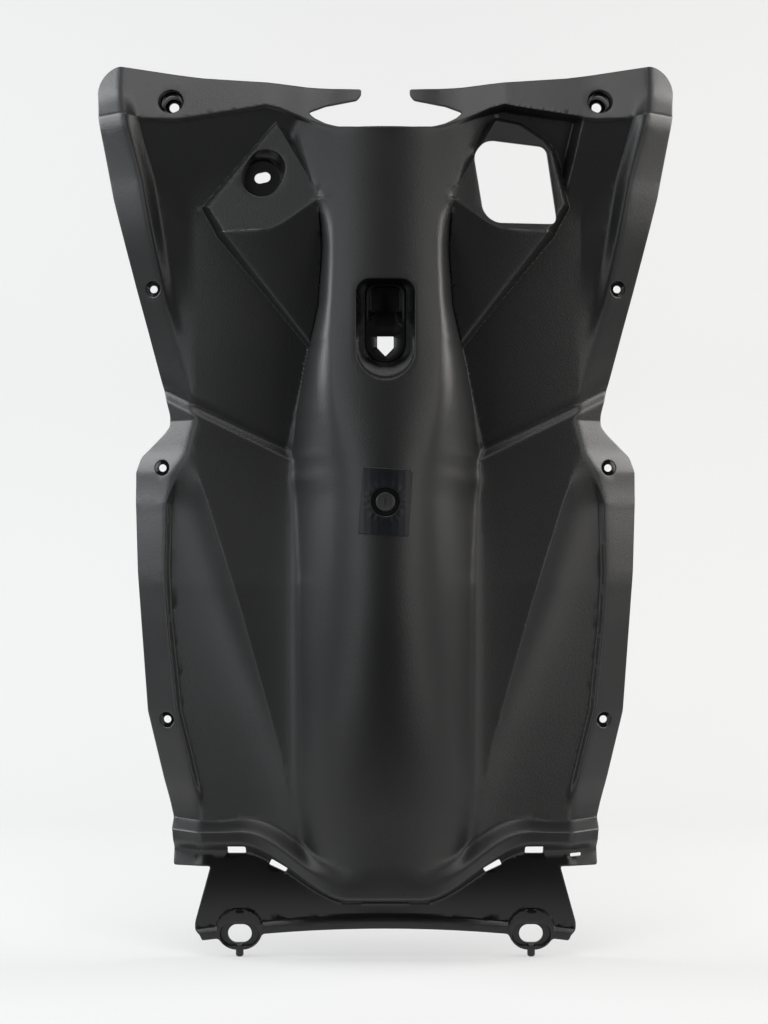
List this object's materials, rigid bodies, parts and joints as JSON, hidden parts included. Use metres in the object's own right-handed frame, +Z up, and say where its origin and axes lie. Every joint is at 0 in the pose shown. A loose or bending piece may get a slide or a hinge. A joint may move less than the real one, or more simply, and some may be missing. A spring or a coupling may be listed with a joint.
{
  "type": "scooter leg shield",
  "caption": "Moulded inner leg shield for a motor scooter, with a raised centre tunnel, faceted side pods, a hook pocket, a switch opening and a bolted lower flange.",
  "frame": {"origin": "midway between the two floor bolts, on the seats of their heads", "axes": "+X to the rider's right as the rider faces the panel, +Z up the panel, -Y towards the rider"},
  "size_m": [0.4118, 0.0956, 0.6348],
  "materials": {
    "shield_plastic": "black textured moulding",
    "film": "smooth dark film",
    "plug_plastic": "plain dark plastic"
  },
  "bodies": {
    "root": {"leg_shield": "shield_plastic", "film_patch": "film", "push_plug": "plug_plastic"}
  },
  "joints": []
}
